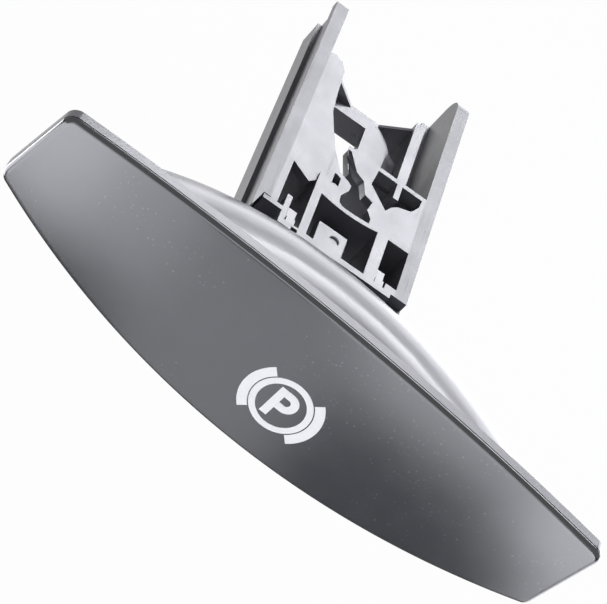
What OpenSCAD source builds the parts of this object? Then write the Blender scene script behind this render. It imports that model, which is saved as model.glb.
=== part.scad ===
// Parking brake release handle: a lens-shaped pull panel, the finger grip
// moulding behind it and the ribbed slider frame that runs in the dashboard
// guide. X is across, Y is back into the dashboard, Z is up, in millimetres.
// The origin is at the frame's front wall, on the slide's bottom plane.

/* [Front panel] */

// length of the panel from end to end
panel_w = 121; // [100:0.5:140]
// height of the panel's straight ends
end_h = 18; // [12:0.5:24]
// how far the top edge arches above the top of the ends
top_rise = 2.9; // [1:0.1:6]
// how far the bottom edge bows below the bottom of the ends
bottom_drop = 12.9; // [8:0.1:16]
// rake of the straight ends in degrees, tops to the right
end_rake = 7.4; // [0:0.2:10]
// radius of the four outline corners
corner_r = 2.5; // [1:0.1:5]
// thickness of the printed front cover at its edge
cover_t = 0.8; // [0.6:0.1:1.4]
// margin by which the cover stands inside the rim's outline
cover_in = 0.25; // [0.1:0.05:0.6]
// width of the shadow line between cover and rim
shadow_w = 0.4; // [0.2:0.1:0.8]
// depth of the shadow line
shadow_d = 1.2; // [0.6:0.1:2]
// depth of the rim plate's recess that seats the cover's back
seat_d = 0.5; // [0.3:0.1:0.8]
// thickness of the rim plate behind the cover
rim_t = 2.2; // [1.8:0.1:3]

/* [Set of the panel to the slide] */

// distance of the panel's front from the frame's front wall
reach = 30.5; // [26:0.5:38]
// shift of the panel's middle to the right of the slide
panel_shift = 2.2; // [0:0.1:6]
// height of the end's lower corner above the slide's bottom plane
panel_lift = 5.0; // [2:0.1:8]
// backward lean of the panel in degrees
lean = 6; // [0:0.5:12]
// roll of the panel about the pull direction in degrees
roll = 3.5; // [0:0.5:6]
// turn of the panel towards the driver in degrees
turn = 4; // [0:0.5:8]

/* [Finger grip] */

// radius of the half-moon that the bowl makes in plan
bowl_plan = 76.2; // [60:0.1:90]
// radius of the bowl's rounded ridge
bowl_r = 19; // [17:0.1:21]
// distance of the ridge behind the panel's front
bowl_back = 10.4; // [7:0.1:12]
// height of the straight wall below the bowl's rounding
bowl_skirt = 1.8; // [0:0.1:4]
// wall thickness of the bowl
bowl_wall = 2.0; // [1.5:0.1:3]

/* [Slider frame] */

// width of the slider frame across its rails
frame_w = 34.4; // [30:0.2:40]
// height of the side rails
frame_h = 13.4; // [12:0.2:16]
// length of the left rail from the front wall
rail_len = 69.5; // [62:0.5:80]
// width of a rail's top band
rail_w = 2.8; // [2.2:0.1:4]
// thickness of a rail's top flange above the guide groove
flange_t = 2.2; // [1.6:0.1:3]
// height of the guide groove in the rail's outer side
groove_h = 5.5; // [4:0.1:6]
// depth of the guide groove
groove_d = 0.9; // [0.6:0.1:1.4]
// how much shorter the right rail is than the left one
right_short = 1.2; // [0:0.1:4]
// rounding of the left rail's upper rear corner
left_tip_r = 1.4; // [0.8:0.1:4]
// rounding of the right rail's upper rear corner
right_tip_r = 6; // [3:0.1:8]
// thickness of the front wall
front_t = 1.5; // [1.2:0.1:2.4]
// thickness of the thin ribs
rib_t = 1.1; // [0.8:0.1:1.8]
// width of the long left rib of the front block
left_rib_w = 1.7; // [1.2:0.1:2.6]
// width of the long right rib of the front block
right_rib_w = 2.4; // [1.6:0.1:3]
// length of the ribbed front block
block_len = 15.2; // [13:0.1:18]
// how far the arched cross rib bows towards the front wall
arch_sag = 0.9; // [0.4:0.1:1]
// length of the open corner beside the front block
corner_len = 4.4; // [3:0.1:6]
// length of the left pocket from the front wall
pocket_len = 18.2; // [17:0.1:20]
// length of the left deck from the front wall
deck_len = 54; // [50:0.5:58]
// thickness of the decks
deck_t = 1.8; // [1.2:0.1:2.6]
// drop of the decks below the rail tops
deck_drop = 0.6; // [0.3:0.1:1.2]
// drop of the cross bar and scoop floor below the rail tops
bar_drop = 5; // [4:0.1:6]
// height of the cross bar
bar_h = 5.2; // [4:0.1:6]
// length of the cross bar along the slide
bar_len = 3.7; // [2.6:0.1:5]
// distance of the cross bar's rear side from the front wall
bar_back = 49.2; // [47:0.1:51]
// distance of the middle cross rib from the front wall
mid_rib = 30; // [28:0.1:32]

/* [Hidden] */

// pieces of the handle
// the piece that is shown

// smoothness of the round faces
$fn = 96;
// small overlap that keeps cuts clean
eps = 0.02;
// half width of the frame
half = frame_w / 2;
// inner side of a rail
inner = half - rail_w;
// middle of the long left rib
left_rib_x = -0.19 * frame_w;
// middle of the long right rib
right_rib_x = 0.246 * frame_w;
// right side of the long left rib
cell_l = left_rib_x + left_rib_w / 2;
// left side of the long right rib
cell_r = right_rib_x - right_rib_w / 2;
// half length of the panel
panel_half = panel_w / 2;
// height at which the raked ends stand at the panel's half length
rake_z = 4.6;
// radius of the top edge
top_r = (pow(panel_half, 2) + pow(top_rise, 2)) / (2 * top_rise);
// radius of the bottom edge
bottom_r = (pow(panel_half, 2) + pow(bottom_drop, 2)) / (2 * bottom_drop);
// how far a corner's rounding reaches past the edges that it joins
blend = 0.002;
// front side of the rim plate behind the panel's front
rim_y = cover_t + shadow_w;
// rear side of the rim plate
rim_back = rim_y + rim_t;
// distance of the bowl section's middle from the half-moon's centre
bowl_mid = bowl_plan - bowl_r;
// height of the bowl's rounding above the ends' lower corner
bowl_up = 0.9;
// left side of the inner long rib
rib_x = 7.3;
// width of the inner long rib
inner_rib_w = 2.1;
// width of the tongue in which that rib ends over the pocket
tongue_w = 1.2;
// distance of the tongue's tip from the front wall
tongue_y = 25.6;
// left side of the wall between the open corner and the left pocket
wall_l = -inner + 2.8;
// left side of the left pocket
pocket_l = -inner + 1.6;
// distance from the front wall to the tip of the finger that ends the wall
finger_len = 8.2;
// slot between the long left rib and the step block of the middle cell
step_gap = 1.7;
// right side of the step block
step_r = cell_r - 5;
// length of the step block from the front wall
step_len = 7.4;
// thickness of the step block's top
step_t = 2.4;
// depth of the ledge on the middle cross rib below the rail tops
ledge_drop = 3.2;
// width of that ledge
ledge_w = 0.5;
// radius of the scoop at the inner rib
scoop_r = 2.4;
// left foot of the cross bar's notch
notch_l = -5;
// right foot of the cross bar's notch
notch_r = 1.7;
// clearance of the snap fingers in their windows
snap_gap = 0.3;
// left side of the left snap finger
snap_l = wall_l + rib_t + 0.4;
// left side of the right snap finger
snap_r = cell_r + right_rib_w + 0.25;
// width of a snap finger
snap_w = 1.8;
// thickness of a snap finger
snap_t = 1.6;
// length of a snap finger behind the front wall's face
snap_len = 6.5;
// depth of a snap finger's top below the rail tops
snap_drop = 1.2;

// box from one corner to the opposite one
module box(a, b) {
  translate(a) cube([b[0] - a[0], b[1] - a[1], b[2] - a[2]]);
}

// plan shape raised between two heights
module slab(z0, z1, points) {
  translate([0, 0, z0]) linear_extrude(height = z1 - z0) polygon(points);
}

// cross-section in X and Z drawn out between two depths
module across(y0, y1) {
  translate([0, y1, 0]) rotate([90, 0, 0]) linear_extrude(height = y1 - y0) children();
}

// section of the right rail: top flange, groove, foot and inner lip
module rail_section() {
  groove_top = frame_h - flange_t;
  groove_low = groove_top - groove_h;
  polygon([[half, frame_h], [inner, frame_h], [inner, 1.6], [inner - 1.8, 1.6],
    [inner - 1.8, 0], [half, 0], [half, groove_low], [half - groove_d, groove_low],
    [half - groove_d, groove_top], [half, groove_top]]);
}

// piece outside the rounding of a rail's upper rear corner
module tip_cut(x0, len, r) {
  difference() {
    box([x0 - 1, len - r, frame_h - r], [x0 + rail_w + 3, len + 1, frame_h + 1]);
    translate([x0 - 2, len - r, frame_h - r]) rotate([0, 90, 0])
      cylinder(r = r, h = rail_w + 6);
  }
}

// right rail of the slide
module right_rail() {
  difference() {
    across(0, rail_len - right_short) rail_section();
    tip_cut(inner, rail_len - right_short, right_tip_r);
  }
}

// left rail of the slide, with the open corner beside the front block
module left_rail() {
  difference() {
    across(0, rail_len) mirror([1, 0]) rail_section();
    tip_cut(-half, rail_len, left_tip_r);
    slab(frame_h - 7, frame_h + 1, [[-half - 0.1, -1], [wall_l + 0.2, -1],
      [wall_l + 0.2, corner_len], [-inner - 1.5, corner_len + 0.3]]);
  }
}

// plan of the left deck with the hook finger of the cable slot
module left_deck() {
  pocket_r = left_rib_x - left_rib_w / 2;
  z1 = frame_h - deck_drop;
  difference() {
    slab(z1 - deck_t, z1, [[-inner - eps, corner_len], [-inner - eps, deck_len - 0.6],
      [-inner + 1.2, deck_len], [-inner + 3.2, deck_len - 1], [-inner + 4.2, deck_len - 3],
      [-inner + 4.5, mid_rib + 14], [-inner + 5, mid_rib + 8], [-inner + 6.6, mid_rib + 3],
      [-inner + 8.6, mid_rib - 2.3], [-3.6, 23.4], [-1.4, 22.4], [-0.6, 21.7],
      [-0.7, 20.1], [-1.9, 17.6], [-1.7, block_len + 0.6], [-0.6, block_len - 0.3],
      [-0.6, block_len - rib_t], [left_rib_x, block_len - rib_t], [left_rib_x, 2],
      [pocket_l, 2], [pocket_l, corner_len]]);
    slab(z1 - deck_t - 1, z1 + 1, [[pocket_l, 1], [pocket_l, pocket_len],
      [pocket_l + 4.1, pocket_len - 2.6], [pocket_r, pocket_len - 1], [pocket_r, 1]]);
    translate([-4.9, 19.2, z1 - deck_t - 1]) intersection() {
      cylinder(r = 3.2, h = deck_t + 2);
      translate([0.4, 0.2, 0]) cube([1.5, 3.4, deck_t + 2]);
    }
  }
  // wall under the deck's inner edge
  box([-inner + 3.2, mid_rib + 5, 0], [-inner + 4.6, deck_len - 2.6, z1 - deck_t + eps]);
  // cross wall behind the second pocket, under the deck
  box([-inner - eps, pocket_len, 0], [cell_l, pocket_len + rib_t, z1 - deck_t + eps]);
  // long wall between pocket and rail
  box([pocket_l - rib_t, corner_len, 0], [pocket_l, pocket_len + eps, z1 - deck_t + eps]);
  // curved edge wall under the hook finger
  box([-4.4, 14, 2], [-3.2, 22.6, z1 - deck_t + eps]);
}

// right deck with the pocket that the long rib's tongue reaches into
module right_deck() {
  z1 = frame_h;
  difference() {
    slab(z1 - deck_t, z1, [[5, block_len - rib_t], [inner + eps, block_len - rib_t],
      [inner + eps, mid_rib + eps], [-3.2, mid_rib + eps], [-0.7, 25.6], [1.2, 24.5], [2.4, 21.3],
      [4.3, 20.6], [3.8, 17.8], [5, 16.1]]);
    slab(z1 - deck_t - 1, z1 + 1, [[3.3, mid_rib - eps], [inner - 0.8, mid_rib - eps],
      [inner - 1, 27.6], [12.2, 25.2], [9.4, 24], [8.2, 22.8], [7.2, 20.8], [2.8, 25.2]]);
  }
  // rear wall of the front block's right pocket
  box([cell_r, block_len - rib_t, 0], [inner + eps, block_len, frame_h - deck_drop]);
}

// middle cross rib with its raked left edge, and the wall in front of it
module mid_cross() {
  across(mid_rib, mid_rib + rib_t)
    polygon([[-4, frame_h], [inner + eps, frame_h], [inner + eps, 0], [0.9, 0],
      [0.9, frame_h - 6.9]]);
  // narrow ledge on the front of the rib
  box([3.3, mid_rib - ledge_w, frame_h - ledge_drop - rib_t],
    [inner + eps, mid_rib + eps, frame_h - ledge_drop]);
}

// inner long rib beside the right slot, with its tongue in front of the cross rib
module inner_rib() {
  box([rib_x, mid_rib, 0], [rib_x + inner_rib_w, bar_back + 1, frame_h]);
  translate([rib_x + (inner_rib_w - tongue_w) / 2, 0, 0])
    box([0, tongue_y, 0], [tongue_w, mid_rib + eps, frame_h]);
}

// floor that rises in a scoop to the inner rib
module scoop() {
  floor_z = frame_h - bar_drop;
  difference() {
    slab(floor_z - deck_t, floor_z + scoop_r, [[-0.6, mid_rib + eps], [rib_x + eps, mid_rib + eps],
      [rib_x + eps, bar_back - 10], [rib_x - 1, bar_back - 7.6], [4.4, bar_back - 3.6],
      [2.8, bar_back - 1.8], [notch_r, bar_back - rib_t + eps], [-0.6, bar_back - rib_t + eps],
      [-0.6, 38.6], [-2.4, 36.4]]);
    translate([rib_x - scoop_r, mid_rib + rib_t, floor_z + scoop_r]) rotate([-90, 0, 0])
      cylinder(r = scoop_r, h = bar_back - mid_rib - 2 * rib_t);
    box([-4, mid_rib + rib_t, floor_z], [rib_x - scoop_r, bar_back + 1, frame_h + 1]);
  }
}

// cross bar behind the cable slot, with a notch between raking cheeks
module cross_bar() {
  z1 = frame_h - bar_drop;
  box([-inner + 4.5, bar_back - bar_len, z1 - bar_h], [notch_r, bar_back, z1]);
  across(bar_back - rib_t * 0.7, bar_back) polygon([[-inner + 4, z1 - 1], [notch_r - 0.5, z1 - 1],
    [notch_r - 0.5, 0], [rib_x + eps, 0], [rib_x + eps, frame_h - 1], [notch_r, z1],
    [notch_l, z1], [-inner + 4, frame_h - 1]]);
}

// arched cross rib round the wide end of the cable slot
module arch_rib() {
  front = block_len - rib_t - arch_sag;
  r = (pow((cell_r - cell_l) / 2, 2) + pow(arch_sag, 2)) / (2 * arch_sag);
  intersection() {
    translate([(cell_l + cell_r) / 2, front + r, 0]) difference() {
      cylinder(r = r, h = frame_h);
      translate([0, 0, -1]) cylinder(r = r - rib_t, h = frame_h + 2);
    }
    box([cell_l - eps, front - 1, -1], [cell_r + eps, block_len + 0.5, frame_h + 1]);
  }
}

// ribbed front block with its pockets, windows and arch rib
module front_block() {
  top = frame_h;
  difference() {
    union() {
      box([wall_l, 0, 0], [half, front_t, top]);
      box([-inner - 1.4, corner_len - rib_t, 0], [wall_l + rib_t, corner_len, top]);
      box([wall_l, 0, 0], [wall_l + rib_t, finger_len, top]);
    }
    // slot in the front wall's top
    box([left_rib_x - 2.2, -1, top - 1.6], [left_rib_x + 0.4, front_t * 0.6, top + 1]);
    // windows for the snap fingers
    for (x = [snap_l, snap_r])
      box([x - snap_gap, -1, top - snap_drop - snap_t - snap_gap],
        [x + snap_w + snap_gap, front_t + 1, top - snap_drop + snap_gap]);
  }
  // long ribs
  box([cell_l - left_rib_w, 0, 0], [cell_l, pocket_len + rib_t, top]);
  box([cell_r, 0, 0], [cell_r + right_rib_w, block_len, top]);
  arch_rib();
  // shelf inside the middle pocket
  box([cell_l + 3, 7.3, top - 7.2], [cell_r - 2.9, block_len - rib_t + eps, top - 5.7]);
  // step block in the middle cell: a top plate on a side wall, with the gate's round dimple
  difference() {
    union() {
      box([cell_l + step_gap, front_t - eps, top - step_t], [step_r, step_len, top - 0.3]);
      box([step_r - rib_t, front_t - eps, 0], [step_r, step_len, top - 0.3]);
    }
    translate([step_r - 2.3, step_len - 2.4, top - 0.7]) cylinder(d = 2.2, h = 1);
  }
  // foot block of the right pocket
  box([snap_r + snap_w + snap_gap, 0, 0], [inner + eps, 3, top]);
}

// foot of the left rail joined to the front block below the grip
module left_foot() {
  box([-half, 0, 0], [-half + 3.8, front_t, frame_h - flange_t - groove_h]);
}

module slider_frame() {
  color([0.62, 0.62, 0.66])
    difference() {
      union() {
        left_rail();
        right_rail();
        left_deck();
        right_deck();
        mid_cross();
        inner_rib();
        scoop();
        cross_bar();
        front_block();
        left_foot();
      }
      // notch in the right rail's front corner
      box([inner - 0.8, -1, frame_h - 2], [half + 1, 1.2, frame_h + 1]);
    }
}

// places the panel's own frame on the slide
module panel_set() {
  translate([panel_shift, -reach, panel_lift])
    rotate([0, roll, 0]) rotate([-lean, 0, 0]) rotate([0, 0, -turn]) children();
}

// corner of the outline that falls outside the rounding, on one side, above or below
module corner_cut(big_r, centre_z, inset, side, up) {
  r = corner_r - inset;
  // outward normal of the raked end, its upward direction and its distance
  n = [side * cos(end_rake), -side * sin(end_rake)];
  t = [sin(end_rake), cos(end_rake)];
  d = panel_half * cos(end_rake) - side * rake_z * sin(end_rake) - inset - r;
  // middle of the rounding, r inside the end and inside the big circle
  s = t[1] * centre_z + up * sqrt(pow(big_r - inset - r, 2) - pow(d - n[1] * centre_z, 2));
  c = d * n + s * t;
  touch = [0, centre_z] + (c - [0, centre_z]) * (big_r - inset) / (big_r - inset - r);
  difference() {
    polygon([c, c + r * n, c + (r + 2) * n, c + (r + 2) * n + up * (r + 3) * t,
      touch + (touch - c) * 1.2, touch]);
    translate(c) circle(r = r + blend);
  }
}

// outline of the panel, drawn in by a margin
module panel_outline(inset) {
  // half length of the raked ends' span, the same at every height
  span = panel_half - inset / cos(end_rake);
  slope = tan(end_rake);
  difference() {
    intersection() {
      translate([0, end_h + top_rise - top_r]) circle(r = top_r - inset, $fn = 720);
      translate([0, bottom_r - bottom_drop]) circle(r = bottom_r - inset, $fn = 360);
      polygon([for (p = [[-1, -20], [1, -20], [1, 40], [-1, 40]])
        [p[0] * span + (p[1] - rake_z) * slope, p[1]]]);
    }
    for (side = [-1, 1]) {
      corner_cut(top_r, end_h + top_rise - top_r, inset, side, 1);
      corner_cut(bottom_r, bottom_r - bottom_drop, inset, side, -1);
    }
  }
}

// panel plate between two depths of the panel's own frame
module plate(y0, y1, inset) {
  across(y0, y1) panel_outline(inset);
}

// bowl volume: a round ridge turned about an upright axis, with a straight wall below
module dome(inset, low) {
  r = bowl_r - inset;
  translate([0, bowl_back - bowl_mid, bowl_up]) rotate_extrude() union() {
    intersection() {
      translate([bowl_mid, 0]) circle(r = r);
      translate([bowl_mid - r, 0]) square([2 * r, r + 1]);
    }
    translate([bowl_mid - r, -low]) square([2 * r, low + eps]);
  }
}

// space behind the rim plate
module behind_rim() {
  box([-bowl_plan, rim_back - eps, -40], [bowl_plan, 60, 60]);
}

module grip_body() {
  color([0.45, 0.45, 0.48])
    difference() {
      union() {
        panel_set() difference() {
          plate(rim_y, rim_back, 0);
          plate(rim_y - 1, rim_y + seat_d, shadow_d - 0.2);
        }
        panel_set() intersection() {
          dome(0, bowl_skirt);
          behind_rim();
        }
        // rear pad that carries the frame's front wall
        box([-inner + 1, -9, 1], [inner - 1, 0, frame_h - 3.2]);
        // snap fingers with their barbs
        for (x = [snap_l, snap_r]) {
          box([x, -9, frame_h - snap_drop - snap_t], [x + snap_w, snap_len, frame_h - snap_drop]);
          box([x, front_t + 0.4, frame_h - snap_drop - eps],
            [x + snap_w, front_t + 1.9, frame_h - snap_drop + 0.8]);
        }
      }
      panel_set() intersection() {
        dome(bowl_wall, 2 * bowl_r);
        translate([0, eps, 0]) behind_rim();
      }
    }
}

module front_cover() {
  color([0.2, 0.2, 0.22])
    panel_set() {
      plate(0, cover_t, cover_in);
      plate(cover_t - eps, rim_y + seat_d, shadow_d);
    }
}

slider_frame();
grip_body();
front_cover();
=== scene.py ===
# Parking brake release handle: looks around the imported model, in metres
import bpy
import bmesh
import numpy as np
from mathutils import Matrix, Vector


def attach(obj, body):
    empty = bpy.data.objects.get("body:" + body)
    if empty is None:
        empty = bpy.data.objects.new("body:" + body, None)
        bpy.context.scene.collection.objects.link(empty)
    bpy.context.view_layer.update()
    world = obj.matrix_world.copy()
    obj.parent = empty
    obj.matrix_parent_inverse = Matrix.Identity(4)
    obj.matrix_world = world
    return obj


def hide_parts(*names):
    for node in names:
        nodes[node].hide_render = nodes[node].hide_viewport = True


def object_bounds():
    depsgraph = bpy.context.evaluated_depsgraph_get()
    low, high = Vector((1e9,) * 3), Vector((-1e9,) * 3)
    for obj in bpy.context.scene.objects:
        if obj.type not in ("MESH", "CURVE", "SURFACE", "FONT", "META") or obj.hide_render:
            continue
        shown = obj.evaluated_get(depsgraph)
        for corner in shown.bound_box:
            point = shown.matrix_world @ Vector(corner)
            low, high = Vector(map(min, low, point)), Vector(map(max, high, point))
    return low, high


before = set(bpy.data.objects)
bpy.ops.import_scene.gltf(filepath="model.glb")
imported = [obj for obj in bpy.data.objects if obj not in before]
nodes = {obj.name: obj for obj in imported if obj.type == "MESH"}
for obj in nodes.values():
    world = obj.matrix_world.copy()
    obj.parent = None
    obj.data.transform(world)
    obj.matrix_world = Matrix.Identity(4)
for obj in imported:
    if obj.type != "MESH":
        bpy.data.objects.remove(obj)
cadLow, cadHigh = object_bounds()
print("stage: frame loaded")

# mesh tools


def meshFromGrid(name, points, closeAlong=False, closeAcross=False):
    # a grid of points (rows, columns, 3) becomes quads: vertex (i, j) sits at index i * columns + j
    rows, columns = points.shape[:2]
    i = np.arange(rows if closeAlong else rows - 1)[:, None]
    j = np.arange(columns if closeAcross else columns - 1)[None, :]
    nextI = (i + 1) % rows
    nextJ = (j + 1) % columns
    faces = np.stack([i * columns + j, nextI * columns + j, nextI * columns + nextJ,
                      i * columns + nextJ], axis=-1).reshape(-1, 4)
    mesh = bpy.data.meshes.new(name)
    mesh.from_pydata(points.reshape(-1, 3).tolist(), [], faces.tolist())
    mesh.update()
    return mesh


def pieceFromMeshes(name, meshes, material, smoothAngle=35.0):
    # joins the meshes, merges doubles, turns the faces outwards and smooths below the angle
    work = bmesh.new()
    for mesh in meshes:
        work.from_mesh(mesh)
    bmesh.ops.remove_doubles(work, verts=work.verts, dist=3e-7)
    bmesh.ops.dissolve_degenerate(work, edges=work.edges, dist=1e-8)
    bmesh.ops.recalc_face_normals(work, faces=work.faces)
    joined = bpy.data.meshes.new(name)
    work.to_mesh(joined)
    work.free()
    for mesh in meshes:
        bpy.data.meshes.remove(mesh)
    piece = bpy.data.objects.new(name, joined)
    bpy.context.scene.collection.objects.link(piece)
    joined.materials.append(material)
    joined.shade_smooth()
    joined.set_sharp_from_angle(angle=np.radians(smoothAngle))
    return piece


# the panel: its own frame has x along it, y back into the dashboard and z up
panel = {
    "length": 0.121,
    "endHeight": 0.018,
    "topRise": 0.0029,
    "bottomDrop": 0.0129,
    "cornerRadius": 0.0025,
    "rake": 7.4,
    "rakeHeight": 0.0046,
    "shift": 0.0022,
    "reach": 0.0305,
    "lift": 0.005,
    "lean": 6.0,
    "roll": 3.5,
    "turn": 4.0,
}
panelHalf = panel["length"] / 2
topRadius = (panelHalf ** 2 + panel["topRise"] ** 2) / (2 * panel["topRise"])
bottomRadius = (panelHalf ** 2 + panel["bottomDrop"] ** 2) / (2 * panel["bottomDrop"])
topCentre = panel["endHeight"] + panel["topRise"] - topRadius
bottomCentre = bottomRadius - panel["bottomDrop"]
panelPlace = (Matrix.Translation((panel["shift"], -panel["reach"], panel["lift"]))
              @ Matrix.Rotation(np.radians(panel["roll"]), 4, "Y")
              @ Matrix.Rotation(np.radians(-panel["lean"]), 4, "X")
              @ Matrix.Rotation(np.radians(-panel["turn"]), 4, "Z"))


def onPanel(points):
    # takes points of the panel's own frame into the part's frame
    turn = np.array(panelPlace.to_3x3())
    return points @ turn.T + np.array(panelPlace.translation)


def panelOutline(inset, alongArc=90, alongCorner=14, alongEnd=12):
    # closed outline drawn in by the inset: two big arcs, two raked ends and four corner arcs,
    # each arc as centre + radius * (sin a, cos a) with a counted from straight up
    r = panel["cornerRadius"] - inset
    rake = np.radians(panel["rake"])
    upward = np.array([np.sin(rake), np.cos(rake)])

    def corner(side, centreZ, bigRadius, up):
        # middle of a rounding: r inside the raked end and r inside the big circle
        outward = side * np.array([np.cos(rake), -np.sin(rake)])
        reach = (panelHalf * np.cos(rake) - side * panel["rakeHeight"] * np.sin(rake)) - inset - r
        rise = np.sqrt((bigRadius - inset - r) ** 2 - (reach - outward[1] * centreZ) ** 2)
        middle = reach * outward + (upward[1] * centreZ + up * rise) * upward
        return middle, np.arctan2(middle[0], middle[1] - centreZ), middle + r * outward

    def arc(centre, radius, start, stop, count):
        a = np.linspace(start, stop, count, endpoint=False)[:, None]
        return np.array(centre) + radius * np.concatenate([np.sin(a), np.cos(a)], 1)

    def line(a, b, count):
        f = np.linspace(0, 1, count, endpoint=False)[:, None]
        return a * (1 - f) + b * f

    topRight, aTopRight, endTopRight = corner(1, topCentre, topRadius, 1)
    lowRight, aLowRight, endLowRight = corner(1, bottomCentre, bottomRadius, -1)
    lowLeft, aLowLeft, endLowLeft = corner(-1, bottomCentre, bottomRadius, -1)
    topLeft, aTopLeft, endTopLeft = corner(-1, topCentre, topRadius, 1)
    right, left, full = np.pi / 2 + rake, 1.5 * np.pi + rake, 2 * np.pi
    return np.concatenate([
        arc((0, topCentre), topRadius - inset, aTopLeft, aTopRight, alongArc),
        arc(topRight, r, aTopRight, right, alongCorner),
        line(endTopRight, endLowRight, alongEnd),
        arc(lowRight, r, right, aLowRight, alongCorner),
        arc((0, bottomCentre), bottomRadius - inset, aLowRight, aLowLeft + full, alongArc),
        arc(lowLeft, r, aLowLeft + full, left, alongCorner),
        line(endLowLeft, endTopLeft, alongEnd),
        arc(topLeft, r, left, aTopLeft + full, alongCorner)])


def panelHeights(x):
    # lower and upper edge of the outline at x
    upper = topCentre + np.sqrt(topRadius ** 2 - x ** 2)
    lower = bottomCentre - np.sqrt(bottomRadius ** 2 - x ** 2)
    return lower, upper


# materials
def mouldedGrain():
    # group: fine spark grain and slow mottling of a moulded surface, from object coordinates
    group = bpy.data.node_groups.new("mouldedGrain", "ShaderNodeTree")
    face = group.interface
    face.new_socket("Position", in_out="INPUT", socket_type="NodeSocketVector")
    for label, start in (("Grain Scale", 9000.0), ("Mottle Scale", 60.0), ("Mottle Amount", 0.1)):
        face.new_socket(label, in_out="INPUT", socket_type="NodeSocketFloat").default_value = start
    face.new_socket("Base", in_out="INPUT", socket_type="NodeSocketColor")
    face.new_socket("Shade", in_out="INPUT", socket_type="NodeSocketColor")
    face.new_socket("Color", in_out="OUTPUT", socket_type="NodeSocketColor")
    face.new_socket("Height", in_out="OUTPUT", socket_type="NodeSocketFloat")
    face.new_socket("Variation", in_out="OUTPUT", socket_type="NodeSocketFloat")
    make, link = group.nodes.new, group.links.new
    into, out = make("NodeGroupInput"), make("NodeGroupOutput")
    grain = make("ShaderNodeTexNoise")
    grain.inputs["Detail"].default_value = 3.0
    grain.inputs["Roughness"].default_value = 0.6
    mottle = make("ShaderNodeTexNoise")
    mottle.inputs["Detail"].default_value = 4.0
    mottle.inputs["Roughness"].default_value = 0.55
    link(into.outputs["Position"], grain.inputs["Vector"])
    link(into.outputs["Position"], mottle.inputs["Vector"])
    link(into.outputs["Grain Scale"], grain.inputs["Scale"])
    link(into.outputs["Mottle Scale"], mottle.inputs["Scale"])
    spread = make("ShaderNodeMapRange")
    spread.inputs["From Min"].default_value = 0.3
    spread.inputs["From Max"].default_value = 0.7
    link(mottle.outputs["Fac"], spread.inputs["Value"])
    amount = make("ShaderNodeMath")
    amount.operation = "MULTIPLY"
    link(spread.outputs["Result"], amount.inputs[0])
    link(into.outputs["Mottle Amount"], amount.inputs[1])
    blend = make("ShaderNodeMix")
    blend.data_type = "RGBA"
    link(amount.outputs[0], blend.inputs["Factor"])
    link(into.outputs["Base"], blend.inputs[6])
    link(into.outputs["Shade"], blend.inputs[7])
    link(blend.outputs[2], out.inputs["Color"])
    link(grain.outputs["Fac"], out.inputs["Height"])
    link(spread.outputs["Result"], out.inputs["Variation"])
    return group


def dustSpecks():
    # group: scattered pale specks, thick in patches and thin elsewhere
    group = bpy.data.node_groups.new("dustSpecks", "ShaderNodeTree")
    face = group.interface
    face.new_socket("Position", in_out="INPUT", socket_type="NodeSocketVector")
    for label, start in (("Speck Scale", 900.0), ("Patch Scale", 40.0), ("Speck Size", 0.16),
                         ("Patch Level", 0.55)):
        face.new_socket(label, in_out="INPUT", socket_type="NodeSocketFloat").default_value = start
    face.new_socket("Mask", in_out="OUTPUT", socket_type="NodeSocketFloat")
    make, link = group.nodes.new, group.links.new
    into, out = make("NodeGroupInput"), make("NodeGroupOutput")
    cells = make("ShaderNodeTexVoronoi")
    cells.inputs["Randomness"].default_value = 1.0
    patches = make("ShaderNodeTexNoise")
    patches.inputs["Detail"].default_value = 2.0
    link(into.outputs["Position"], cells.inputs["Vector"])
    link(into.outputs["Position"], patches.inputs["Vector"])
    link(into.outputs["Speck Scale"], cells.inputs["Scale"])
    link(into.outputs["Patch Scale"], patches.inputs["Scale"])
    near = make("ShaderNodeMapRange")
    near.inputs["From Min"].default_value = 0.0
    near.inputs["To Min"].default_value = 1.0
    near.inputs["To Max"].default_value = 0.0
    link(cells.outputs["Distance"], near.inputs["Value"])
    link(into.outputs["Speck Size"], near.inputs["From Max"])
    split = make("ShaderNodeSeparateColor")
    link(cells.outputs["Color"], split.inputs["Color"])
    # thickness of the cluster: 0 at the patch level, 1 well above it
    over = make("ShaderNodeMath")
    over.operation = "SUBTRACT"
    link(patches.outputs["Fac"], over.inputs[0])
    link(into.outputs["Patch Level"], over.inputs[1])
    thick = make("ShaderNodeMath")
    thick.operation = "MULTIPLY"
    thick.inputs[1].default_value = 5.0
    link(over.outputs[0], thick.inputs[0])
    chosen = make("ShaderNodeMath")
    chosen.operation = "LESS_THAN"
    link(split.outputs[0], chosen.inputs[0])
    link(thick.outputs[0], chosen.inputs[1])
    both = make("ShaderNodeMath")
    both.operation = "MULTIPLY"
    link(near.outputs["Result"], both.inputs[0])
    link(chosen.outputs[0], both.inputs[1])
    varied = make("ShaderNodeMath")
    varied.operation = "MULTIPLY"
    link(both.outputs[0], varied.inputs[0])
    link(split.outputs[1], varied.inputs[1])
    link(varied.outputs[0], out.inputs["Mask"])
    return group


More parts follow.
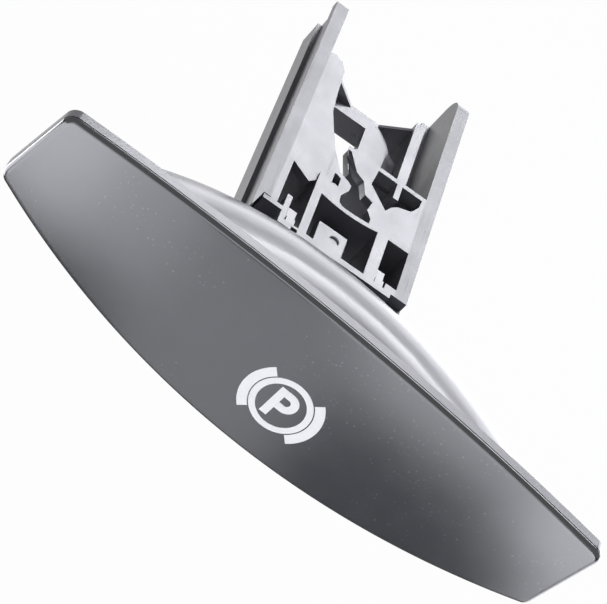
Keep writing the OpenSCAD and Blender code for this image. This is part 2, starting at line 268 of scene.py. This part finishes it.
def slideMarks():
    # group: fine scratches that run along one direction, as a streak mask
    group = bpy.data.node_groups.new("slideMarks", "ShaderNodeTree")
    face = group.interface
    face.new_socket("Position", in_out="INPUT", socket_type="NodeSocketVector")
    face.new_socket("Stretch", in_out="INPUT", socket_type="NodeSocketVector")
    face.new_socket("Level", in_out="INPUT", socket_type="NodeSocketFloat").default_value = 0.6
    face.new_socket("Mask", in_out="OUTPUT", socket_type="NodeSocketFloat")
    make, link = group.nodes.new, group.links.new
    into, out = make("NodeGroupInput"), make("NodeGroupOutput")
    drawn = make("ShaderNodeVectorMath")
    drawn.operation = "MULTIPLY"
    link(into.outputs["Position"], drawn.inputs[0])
    link(into.outputs["Stretch"], drawn.inputs[1])
    streaks = make("ShaderNodeTexNoise")
    streaks.inputs["Scale"].default_value = 1.0
    streaks.inputs["Detail"].default_value = 3.0
    link(drawn.outputs[0], streaks.inputs["Vector"])
    strong = make("ShaderNodeMapRange")
    strong.inputs["From Max"].default_value = 0.85
    link(streaks.outputs["Fac"], strong.inputs["Value"])
    link(into.outputs["Level"], strong.inputs["From Min"])
    link(strong.outputs["Result"], out.inputs["Mask"])
    return group


grainGroup = mouldedGrain()
dustGroup = dustSpecks()
marksGroup = slideMarks()


def plastic(name, settings):
    # moulded plastic: mottled colour, fine grain as bump, dust, and scratches that dull the gloss
    material = bpy.data.materials.new(name)
    material.use_nodes = True
    tree = material.node_tree
    make, link = tree.nodes.new, tree.links.new
    shader = tree.nodes["Principled BSDF"]
    shader.inputs["Specular IOR Level"].default_value = settings["specular"]
    shader.inputs["IOR"].default_value = 1.5
    place = make("ShaderNodeTexCoord")
    grain = make("ShaderNodeGroup")
    grain.node_tree = grainGroup
    grain.inputs["Grain Scale"].default_value = settings["grainScale"]
    grain.inputs["Mottle Scale"].default_value = settings["mottleScale"]
    grain.inputs["Mottle Amount"].default_value = settings["mottleAmount"]
    grain.inputs["Base"].default_value = (*settings["color"], 1)
    grain.inputs["Shade"].default_value = (*settings["shade"], 1)
    dust = make("ShaderNodeGroup")
    dust.node_tree = dustGroup
    dust.inputs["Speck Scale"].default_value = settings["speckScale"]
    dust.inputs["Speck Size"].default_value = settings["speckSize"]
    dust.inputs["Patch Level"].default_value = settings["patchLevel"]
    marks = make("ShaderNodeGroup")
    marks.node_tree = marksGroup
    marks.inputs["Stretch"].default_value = settings["markStretch"]
    marks.inputs["Level"].default_value = settings["markLevel"]
    for group in (grain, dust, marks):
        link(place.outputs["Object"], group.inputs["Position"])
    tint = make("ShaderNodeMix")
    tint.data_type = "RGBA"
    tint.inputs[7].default_value = (*settings["dustColor"], 1)
    thin = make("ShaderNodeMath")
    thin.operation = "MULTIPLY"
    thin.inputs[1].default_value = settings["dustStrength"]
    link(dust.outputs["Mask"], thin.inputs[0])
    link(thin.outputs[0], tint.inputs["Factor"])
    link(grain.outputs["Color"], tint.inputs[6])
    link(tint.outputs[2], shader.inputs["Base Color"])
    rough = make("ShaderNodeMapRange")
    rough.inputs["To Min"].default_value = settings["roughness"][0]
    rough.inputs["To Max"].default_value = settings["roughness"][1]
    link(grain.outputs["Variation"], rough.inputs["Value"])
    scuffed = make("ShaderNodeMath")
    scuffed.operation = "MULTIPLY_ADD"
    scuffed.inputs[1].default_value = settings["markRoughness"]
    link(marks.outputs["Mask"], scuffed.inputs[0])
    link(rough.outputs["Result"], scuffed.inputs[2])
    lastRoughness = scuffed.outputs[0]
    if "matteFrom" in settings:
        # the outer bands, where the part slides, are duller than the middle
        parts = make("ShaderNodeSeparateXYZ")
        link(place.outputs["Object"], parts.inputs[0])
        side = make("ShaderNodeMath")
        side.operation = "ABSOLUTE"
        link(parts.outputs["X"], side.inputs[0])
        band = make("ShaderNodeMapRange")
        band.inputs["From Min"].default_value = settings["matteFrom"][0]
        band.inputs["From Max"].default_value = settings["matteFrom"][1]
        band.inputs["To Max"].default_value = settings["matteAmount"]
        link(side.outputs[0], band.inputs["Value"])
        duller = make("ShaderNodeMath")
        duller.operation = "ADD"
        link(lastRoughness, duller.inputs[0])
        link(band.outputs["Result"], duller.inputs[1])
        lastRoughness = duller.outputs[0]
    link(lastRoughness, shader.inputs["Roughness"])
    relief = make("ShaderNodeMath")
    relief.operation = "MULTIPLY_ADD"
    relief.inputs[1].default_value = -0.5
    link(marks.outputs["Mask"], relief.inputs[0])
    link(grain.outputs["Height"], relief.inputs[2])
    bump = make("ShaderNodeBump")
    bump.inputs["Strength"].default_value = settings["grainStrength"]
    bump.inputs["Distance"].default_value = settings["grainDepth"]
    link(relief.outputs[0], bump.inputs["Height"])
    link(bump.outputs["Normal"], shader.inputs["Normal"])
    return material


coverPlastic = plastic("coverPlastic", {
    "color": (0.044, 0.045, 0.050), "shade": (0.052, 0.053, 0.058), "specular": 0.5,
    "roughness": (0.14, 0.16), "grainScale": 7000.0, "grainStrength": 0.10, "grainDepth": 0.00003,
    "mottleScale": 160.0, "mottleAmount": 0.6, "speckScale": 1300.0, "speckSize": 0.36,
    "patchLevel": 0.52, "dustColor": (0.26, 0.27, 0.30), "dustStrength": 0.32,
    "markStretch": (120.0, 900.0, 2600.0), "markLevel": 0.66, "markRoughness": 0.05})
gripPlastic = plastic("gripPlastic", {
    "color": (0.13, 0.13, 0.145), "shade": (0.115, 0.115, 0.128), "specular": 0.5,
    "roughness": (0.25, 0.27), "grainScale": 6000.0, "grainStrength": 0.10, "grainDepth": 0.00004,
    "mottleScale": 140.0, "mottleAmount": 0.6, "speckScale": 1300.0, "speckSize": 0.30,
    "patchLevel": 0.57, "dustColor": (0.30, 0.30, 0.33), "dustStrength": 0.3,
    "markStretch": (150.0, 1800.0, 1800.0), "markLevel": 0.64, "markRoughness": 0.03})
framePlastic = plastic("framePlastic", {
    "color": (0.15, 0.15, 0.168), "shade": (0.130, 0.130, 0.146), "specular": 0.5,
    "roughness": (0.27, 0.33), "grainScale": 3200.0, "grainStrength": 0.30, "grainDepth": 0.00005,
    "mottleScale": 160.0, "mottleAmount": 0.8, "speckScale": 1100.0, "speckSize": 0.28,
    "patchLevel": 0.57, "dustColor": (0.30, 0.30, 0.33), "dustStrength": 0.4,
    "markStretch": (2600.0, 60.0, 2600.0), "markLevel": 0.58, "markRoughness": 0.14,
    "matteFrom": (0.0140, 0.0146), "matteAmount": 0.08})
whitePrint = plastic("whitePrint", {
    "color": (0.93, 0.93, 0.93), "shade": (0.88, 0.88, 0.89), "specular": 0.4,
    "roughness": (0.45, 0.55), "grainScale": 5000.0, "grainStrength": 0.2, "grainDepth": 0.00002,
    "mottleScale": 600.0, "mottleAmount": 0.5, "speckScale": 2500.0, "speckSize": 0.3,
    "patchLevel": 0.55, "dustColor": (0.6, 0.6, 0.6), "dustStrength": 0.3,
    "markStretch": (300.0, 900.0, 2600.0), "markLevel": 0.66, "markRoughness": 0.1})
print("stage: materials made")

# front cover: one smooth shell, crowned a little; along the top it leaves the shadow line open,
# at the ends and below it rolls back to the rim plate
cover = {
    "thickness": 0.0008,
    "rimDepth": 0.00118,
    "topMargin": 0.00004,
    "wrapMargin": 0.00004,
    "topRoll": 0.00095,
    "endRoll": 0.00110,
    "lowRoll": 0.00045,
    "crown": 0.00022,
    "innerRings": 18,
    "spineShort": 0.013,
}
outlineCounts = (90, 14, 12)


def coverDepth(x, z):
    # crown: depth grows with the square of the distance from the panel's middle
    lower, upper = panelHeights(x)
    across = (z - (lower + upper) / 2) / 0.017
    return cover["crown"] * np.clip(0.7 * (x / panelHalf) ** 2 + 0.3 * across ** 2, 0, 1)


def alongOutline(top, end, low):
    # one value for each outline point: top edge, ends and bottom edge, eased over the corners
    arc, corner, side = outlineCounts
    ease = (1 - np.cos(np.pi * np.arange(corner) / corner)) / 2
    return np.concatenate([np.full(arc, top), top + (end - top) * ease, np.full(side, end),
                           end + (low - end) * ease, np.full(arc, low), low + (end - low) * ease,
                           np.full(side, end), end + (top - end) * ease])


def frontCover():
    plain = panelOutline(0, *outlineCounts)
    inward = (panelOutline(0.001, *outlineCounts) - plain) / 0.001
    margin = alongOutline(cover["topMargin"], cover["wrapMargin"], cover["wrapMargin"])
    roll = alongOutline(cover["topRoll"], cover["endRoll"], cover["lowRoll"])
    back = alongOutline(cover["thickness"], cover["rimDepth"], cover["rimDepth"])

    def ring(inset, depth, follow):
        # outline at an inset, set back by the depth plus a share of the crown
        flat = plain + inward * inset[:, None]
        return np.stack([flat[:, 0], depth + follow * coverDepth(flat[:, 0], flat[:, 1]), flat[:, 1]], -1)

    rings = [ring(margin + 0.0008, back, 0), ring(margin + 0.0001, back, 0),
             ring(margin, np.maximum(back - 0.0001, roll), 0)]
    for a in np.linspace(0.04, 1, 11):
        # rolled edge: a quarter round from the side to the front
        turn = a * np.pi / 2
        rings.append(ring(margin + roll * (1 - np.cos(turn)), roll * (1 - np.sin(turn)), np.sin(turn)))
    reached = margin + roll
    for f in np.linspace(0, 1, 5)[1:]:
        rings.append(ring(reached * (1 - f) + 0.0024 * f, 0 * back, 1))
    edge = rings[-1]
    spineX = np.clip(edge[:, 0], -(panelHalf - cover["spineShort"]), panelHalf - cover["spineShort"])
    lower, upper = panelHeights(spineX)
    spine = np.stack([spineX, (lower + upper) / 2], -1)
    for f in np.linspace(0, 1, cover["innerRings"] + 1)[1:]:
        # straight blend from the last outline to the spine
        x = edge[:, 0] * (1 - f) + spine[:, 0] * f
        z = edge[:, 2] * (1 - f) + spine[:, 1] * f
        rings.append(np.stack([x, coverDepth(x, z), z], -1))
    grid = onPanel(np.array(rings))
    return pieceFromMeshes("cover_shell", [meshFromGrid("cover_shell", grid, closeAcross=True)],
                           coverPlastic, 50)


coverShell = frontCover()
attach(coverShell, "root")
print("stage: front cover made")

# printed sign: a ring, two side arcs and a block letter as thin raised ink
sign = {
    "middle": (0.0021, -0.0003),
    "radius": 0.008,
    "ringOuter": 0.735,
    "ringInner": 0.58,
    "arcInner": 0.762,
    "arcSpan": 46.0,
    "letterHeight": 0.87,
    "letterWidth": 0.62,
    "stroke": 0.195,
    "bowShare": 0.66,
    "ink": 0.00004,
}


def inkStrip(name, path, side, halfWidth, closed):
    # a flat ribbon of ink: the profile (edge, top, top, edge) is carried along the path
    across = np.array([-1.0, -0.985, 0.985, 1.0]) * halfWidth
    lift = np.array([0.0, 1.0, 1.0, 0.0]) * sign["ink"]
    flat = path[:, None, :] + side[:, None, :] * across[None, :, None]
    depth = coverDepth(flat[..., 0], flat[..., 1]) + 0.00001 - lift[None, :]
    points = np.stack([flat[..., 0], depth, flat[..., 1]], -1)
    return meshFromGrid(name, onPanel(points), closeAlong=closed)


def arcStrip(name, middle, inner, outer, start, stop, count, closed=False):
    # arc about a middle point, with angles in degrees counted from +x towards +z
    a = np.radians(np.linspace(start, stop, count, endpoint=not closed))
    side = np.stack([np.cos(a), np.sin(a)], -1)
    path = np.array(middle) + side * (inner + outer) / 2
    return inkStrip(name, path, side, (outer - inner) / 2, closed)


def printedSign():
    size = sign["radius"]
    middle = np.array(sign["middle"])
    strips = [arcStrip("ring", middle, sign["ringInner"] * size, sign["ringOuter"] * size,
                       0, 360, 160, closed=True)]
    for turn in (0, 180):
        strips.append(arcStrip("arc", middle, sign["arcInner"] * size, size,
                               turn - sign["arcSpan"], turn + sign["arcSpan"], 60))
    high = sign["letterHeight"] * size
    wide = sign["letterWidth"] * size
    stroke = sign["stroke"] * size
    left = middle[0] - wide * 0.46
    low = middle[1] - high / 2
    stem = np.stack([np.full(12, left + stroke / 2), np.linspace(low, low + high, 12)], -1)
    strips.append(inkStrip("stem", stem, np.tile([1.0, 0.0], (12, 1)), stroke / 2, False))
    # bowl of the letter: out along the top, round a half circle and back along the middle
    bow = high * sign["bowShare"]
    radius = (bow - stroke) / 2
    topZ = low + high - stroke / 2
    startX = left + stroke
    turnX = left + wide - stroke / 2 - radius
    a = np.radians(np.linspace(90, -90, 40))
    bend = np.stack([turnX + radius * np.cos(a), topZ - radius + radius * np.sin(a)], -1)
    path = np.concatenate([[[startX, topZ]], bend, [[startX, topZ - 2 * radius]]])
    side = np.concatenate([[[0.0, 1.0]], np.stack([np.cos(a), np.sin(a)], -1), [[0.0, -1.0]]])
    strips.append(inkStrip("bow", path, side, stroke / 2, False))
    return pieceFromMeshes("printed_sign", strips, whitePrint, 30)


printedInk = printedSign()
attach(printedInk, "root")
print("stage: printed sign made")

# moulded bodies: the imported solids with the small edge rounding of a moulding
rounding = {
    "frame": 0.00016,
    "grip": 0.00022,
    "segments": 2,
    "fromAngle": 32.0,
    "shortest": 0.00035,
}


def softenedCopy(name, nodeName, width, material):
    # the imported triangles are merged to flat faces, then each sharp long edge gets a small round
    work = bmesh.new()
    work.from_mesh(nodes[nodeName].data)
    bmesh.ops.remove_doubles(work, verts=work.verts, dist=2e-6)
    bmesh.ops.dissolve_degenerate(work, edges=work.edges, dist=1e-6)
    bmesh.ops.dissolve_limit(work, angle_limit=np.radians(0.5), verts=work.verts, edges=work.edges)
    bend = np.radians(rounding["fromAngle"])
    sharp = [e for e in work.edges if len(e.link_faces) == 2 and e.calc_face_angle(0) > bend
             and e.calc_length() > rounding["shortest"]]
    bmesh.ops.bevel(work, geom=sharp, offset=width, segments=rounding["segments"], profile=0.5,
                    affect="EDGES", clamp_overlap=True, loop_slide=True)
    mesh = bpy.data.meshes.new(name)
    work.to_mesh(mesh)
    work.free()
    piece = bpy.data.objects.new(name, mesh)
    bpy.context.scene.collection.objects.link(piece)
    mesh.materials.append(material)
    mesh.shade_smooth()
    mesh.set_sharp_from_angle(angle=np.radians(50))
    evenShade = piece.modifiers.new("evenShade", "WEIGHTED_NORMAL")
    evenShade.keep_sharp = True
    evenShade.weight = 100
    print("stage:", name, "has", len(mesh.polygons), "faces from", len(sharp), "rounded edges")
    return piece


frameMoulding = softenedCopy("frame_moulding", "slider_frame", rounding["frame"], framePlastic)
gripMoulding = softenedCopy("grip_moulding", "grip_body", rounding["grip"], gripPlastic)
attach(frameMoulding, "root")
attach(gripMoulding, "root")
for name, material in (("slider_frame", framePlastic), ("grip_body", gripPlastic),
                       ("front_cover", coverPlastic)):
    mesh = nodes[name].data
    mesh.materials.clear()
    mesh.materials.append(material)
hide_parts("front_cover")
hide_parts("slider_frame")
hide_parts("grip_body")
print("stage: packed nodes dressed")

# camera at the photograph's angle; focal length in pixels of an image 607 wide
view = {
    "place": (-0.08825, -0.33063, 0.27947),
    "right": (0.80594, 0.23585, 0.54298),
    "up": (-0.55516, 0.61959, 0.55489),
    "back": (-0.20556, -0.74865, 0.63029),
    "focalPixels": 2400.0,
    "imageWidth": 607.0,
}
cameraData = bpy.data.cameras.new("studioCamera")
cameraData.sensor_width = 36.0
cameraData.lens = 36.0 * view["focalPixels"] / view["imageWidth"]
cameraData.clip_start = 0.01
camera = bpy.data.objects.new("studioCamera", cameraData)
bpy.context.scene.collection.objects.link(camera)
axes = Matrix((view["right"], view["up"], view["back"])).transposed()
camera.matrix_world = Matrix.Translation(view["place"]) @ axes.to_4x4()
bpy.context.scene.camera = camera

# studio: a pale floor, a plain world and soft boxes
studio = {
    "floorDrop": 0.30,
    "floorColor": (0.40, 0.40, 0.41),
    "floorGlow": 0.97,
    "worldLight": 0.07,
    "lampColor": (0.94, 0.945, 1.0),
    "glossFrom": -0.10,
    "glossTo": 0.10,
    "boxes": (
        # name, place, aim, width, height, brightness, what it lights
        ("backBox", (0.290, 0.655, 0.500), (0.10, 0.02, 0.0), 0.62, 0.13, 20.0, "both"),
        ("highBox", (0.290, 0.585, 0.660), (0.10, 0.02, 0.0), 0.62, 0.17, 8.0, "both"),
        ("horizonBox", (0.400, 0.720, 0.080), (0.05, 0.02, 0.08), 1.20, 0.40, 3.3, "both"),
        ("lowBackBox", (0.255, 0.340, -0.170), (0.19, 0.02, 0.0), 0.40, 0.24, 3.2, "gloss"),
        ("frontBox", (-0.010, -0.300, 0.010), (-0.010, 0.0, 0.010), 0.30, 0.12, 4.8, "both"),
        ("lowLeftBox", (-0.265, -0.300, -0.100), (-0.265, 0.0, -0.100), 0.44, 0.10, 10.0, "gloss"),
        ("lowNearBox", (-0.030, -0.300, -0.100), (-0.030, 0.0, -0.100), 0.03, 0.10, 5.5, "gloss"),
        ("lowMiddleBox", (0.017, -0.300, -0.150), (0.017, 0.0, -0.150), 0.068, 0.11, 2.9, "gloss"),
        ("lowTopBox", (0.073, -0.300, -0.081), (0.073, 0.0, -0.081), 0.082, 0.084, 6.5, "gloss"),
        ("lowRightBox", (0.195, -0.300, -0.097), (0.195, 0.0, -0.097), 0.154, 0.074, 10.0, "gloss"),
        ("lowCornerBox", (0.207, -0.300, -0.155), (0.207, 0.0, -0.155), 0.14, 0.042, 6.0, "gloss"),
        ("sideLeftBox", (-0.300, -0.020, -0.180), (-0.05, -0.03, 0.0), 0.46, 0.20, 13.0, "gloss"),
        ("sideRightBox", (0.330, -0.100, -0.200), (0.06, -0.03, 0.0), 0.40, 0.18, 5.0, "gloss"),
        ("fillBox", (-0.080, -0.620, 0.220), (0.0, -0.02, 0.0), 0.50, 0.40, 1.25, "matt"),
    ),
}
lowest = cadLow[2] - studio["floorDrop"]
floorMesh = bpy.data.meshes.new("floor")
floorMesh.from_pydata([(-3, -3, lowest), (3, -3, lowest), (3, 3, lowest), (-3, 3, lowest)], [],
                      [(0, 1, 2, 3)])
floor = bpy.data.objects.new("floor", floorMesh)
bpy.context.scene.collection.objects.link(floor)
floorPaint = bpy.data.materials.new("floorPaint")
floorPaint.use_nodes = True
floorTree = floorPaint.node_tree
floorTree.nodes.clear()
floorOut = floorTree.nodes.new("ShaderNodeOutputMaterial")
floorMatt = floorTree.nodes.new("ShaderNodeBsdfDiffuse")
floorMatt.inputs["Color"].default_value = (*studio["floorColor"], 1)
floorGlow = floorTree.nodes.new("ShaderNodeEmission")
floorGlow.inputs["Strength"].default_value = 1.0
floorRays = floorTree.nodes.new("ShaderNodeLightPath")
floorSeen = floorTree.nodes.new("ShaderNodeMath")
floorSeen.operation = "MAXIMUM"
# the floor behind the part shows white in its gloss, and the floor in front stays dark there
floorPlace = floorTree.nodes.new("ShaderNodeTexCoord")
floorParts = floorTree.nodes.new("ShaderNodeSeparateXYZ")
floorBehind = floorTree.nodes.new("ShaderNodeMapRange")
floorBehind.inputs["From Min"].default_value = studio["glossFrom"]
floorBehind.inputs["From Max"].default_value = studio["glossTo"]
floorGloss = floorTree.nodes.new("ShaderNodeMath")
floorGloss.operation = "MULTIPLY"
floorScale = floorTree.nodes.new("ShaderNodeMath")
floorScale.operation = "MULTIPLY"
floorScale.inputs[1].default_value = studio["floorGlow"]
floorMix = floorTree.nodes.new("ShaderNodeMixShader")
floorTree.links.new(floorRays.outputs["Is Camera Ray"], floorSeen.inputs[0])
floorTree.links.new(floorPlace.outputs["Object"], floorParts.inputs[0])
floorTree.links.new(floorParts.outputs["Y"], floorBehind.inputs["Value"])
floorTree.links.new(floorRays.outputs["Is Glossy Ray"], floorGloss.inputs[0])
floorTree.links.new(floorBehind.outputs["Result"], floorGloss.inputs[1])
floorTree.links.new(floorGloss.outputs[0], floorSeen.inputs[1])
floorTree.links.new(floorSeen.outputs[0], floorScale.inputs[0])
floorTree.links.new(floorScale.outputs[0], floorMix.inputs["Fac"])
floorTree.links.new(floorMatt.outputs[0], floorMix.inputs[1])
floorTree.links.new(floorGlow.outputs[0], floorMix.inputs[2])
floorTree.links.new(floorMix.outputs[0], floorOut.inputs["Surface"])
floorMesh.materials.append(floorPaint)

world = bpy.data.worlds.new("studioWorld")
bpy.context.scene.world = world
world.use_nodes = True
worldTree = world.node_tree
worldTree.nodes.clear()
worldOut = worldTree.nodes.new("ShaderNodeOutputWorld")
worldLight = worldTree.nodes.new("ShaderNodeBackground")
worldLight.inputs["Strength"].default_value = studio["worldLight"]
worldShow = worldTree.nodes.new("ShaderNodeBackground")
worldShow.inputs["Strength"].default_value = 1.0
for back in (worldLight, worldShow):
    back.inputs["Color"].default_value = (1, 1, 1, 1)
worldRays = worldTree.nodes.new("ShaderNodeLightPath")
worldShare = worldTree.nodes.new("ShaderNodeMath")
worldShare.operation = "MAXIMUM"
worldMix = worldTree.nodes.new("ShaderNodeMixShader")
worldTree.links.new(worldRays.outputs["Is Camera Ray"], worldShare.inputs[0])
worldTree.links.new(worldRays.outputs["Is Glossy Ray"], worldShare.inputs[1])
worldTree.links.new(worldShare.outputs[0], worldMix.inputs["Fac"])
worldTree.links.new(worldLight.outputs[0], worldMix.inputs[1])
worldTree.links.new(worldShow.outputs[0], worldMix.inputs[2])
worldTree.links.new(worldMix.outputs[0], worldOut.inputs["Surface"])

for name, place, aim, width, height, brightness, role in studio["boxes"]:
    # a soft box of even brightness: its watts are brightness * pi * area
    lampData = bpy.data.lights.new(name, "AREA")
    lampData.shape = "RECTANGLE"
    lampData.size = width
    lampData.size_y = height
    lampData.color = studio["lampColor"]
    lampData.energy = brightness * np.pi * width * height
    lamp = bpy.data.objects.new(name, lampData)
    lamp.matrix_world = (Matrix.Translation(place)
                         @ (Vector(aim) - Vector(place)).to_track_quat("-Z", "Y").to_matrix().to_4x4())
    lamp.visible_camera = False
    lamp.visible_diffuse = role != "gloss"
    lamp.visible_glossy = role != "matt"
    bpy.context.scene.collection.objects.link(lamp)
bpy.context.scene.view_settings.view_transform = "Standard"
print("stage: camera, floor and lights set")
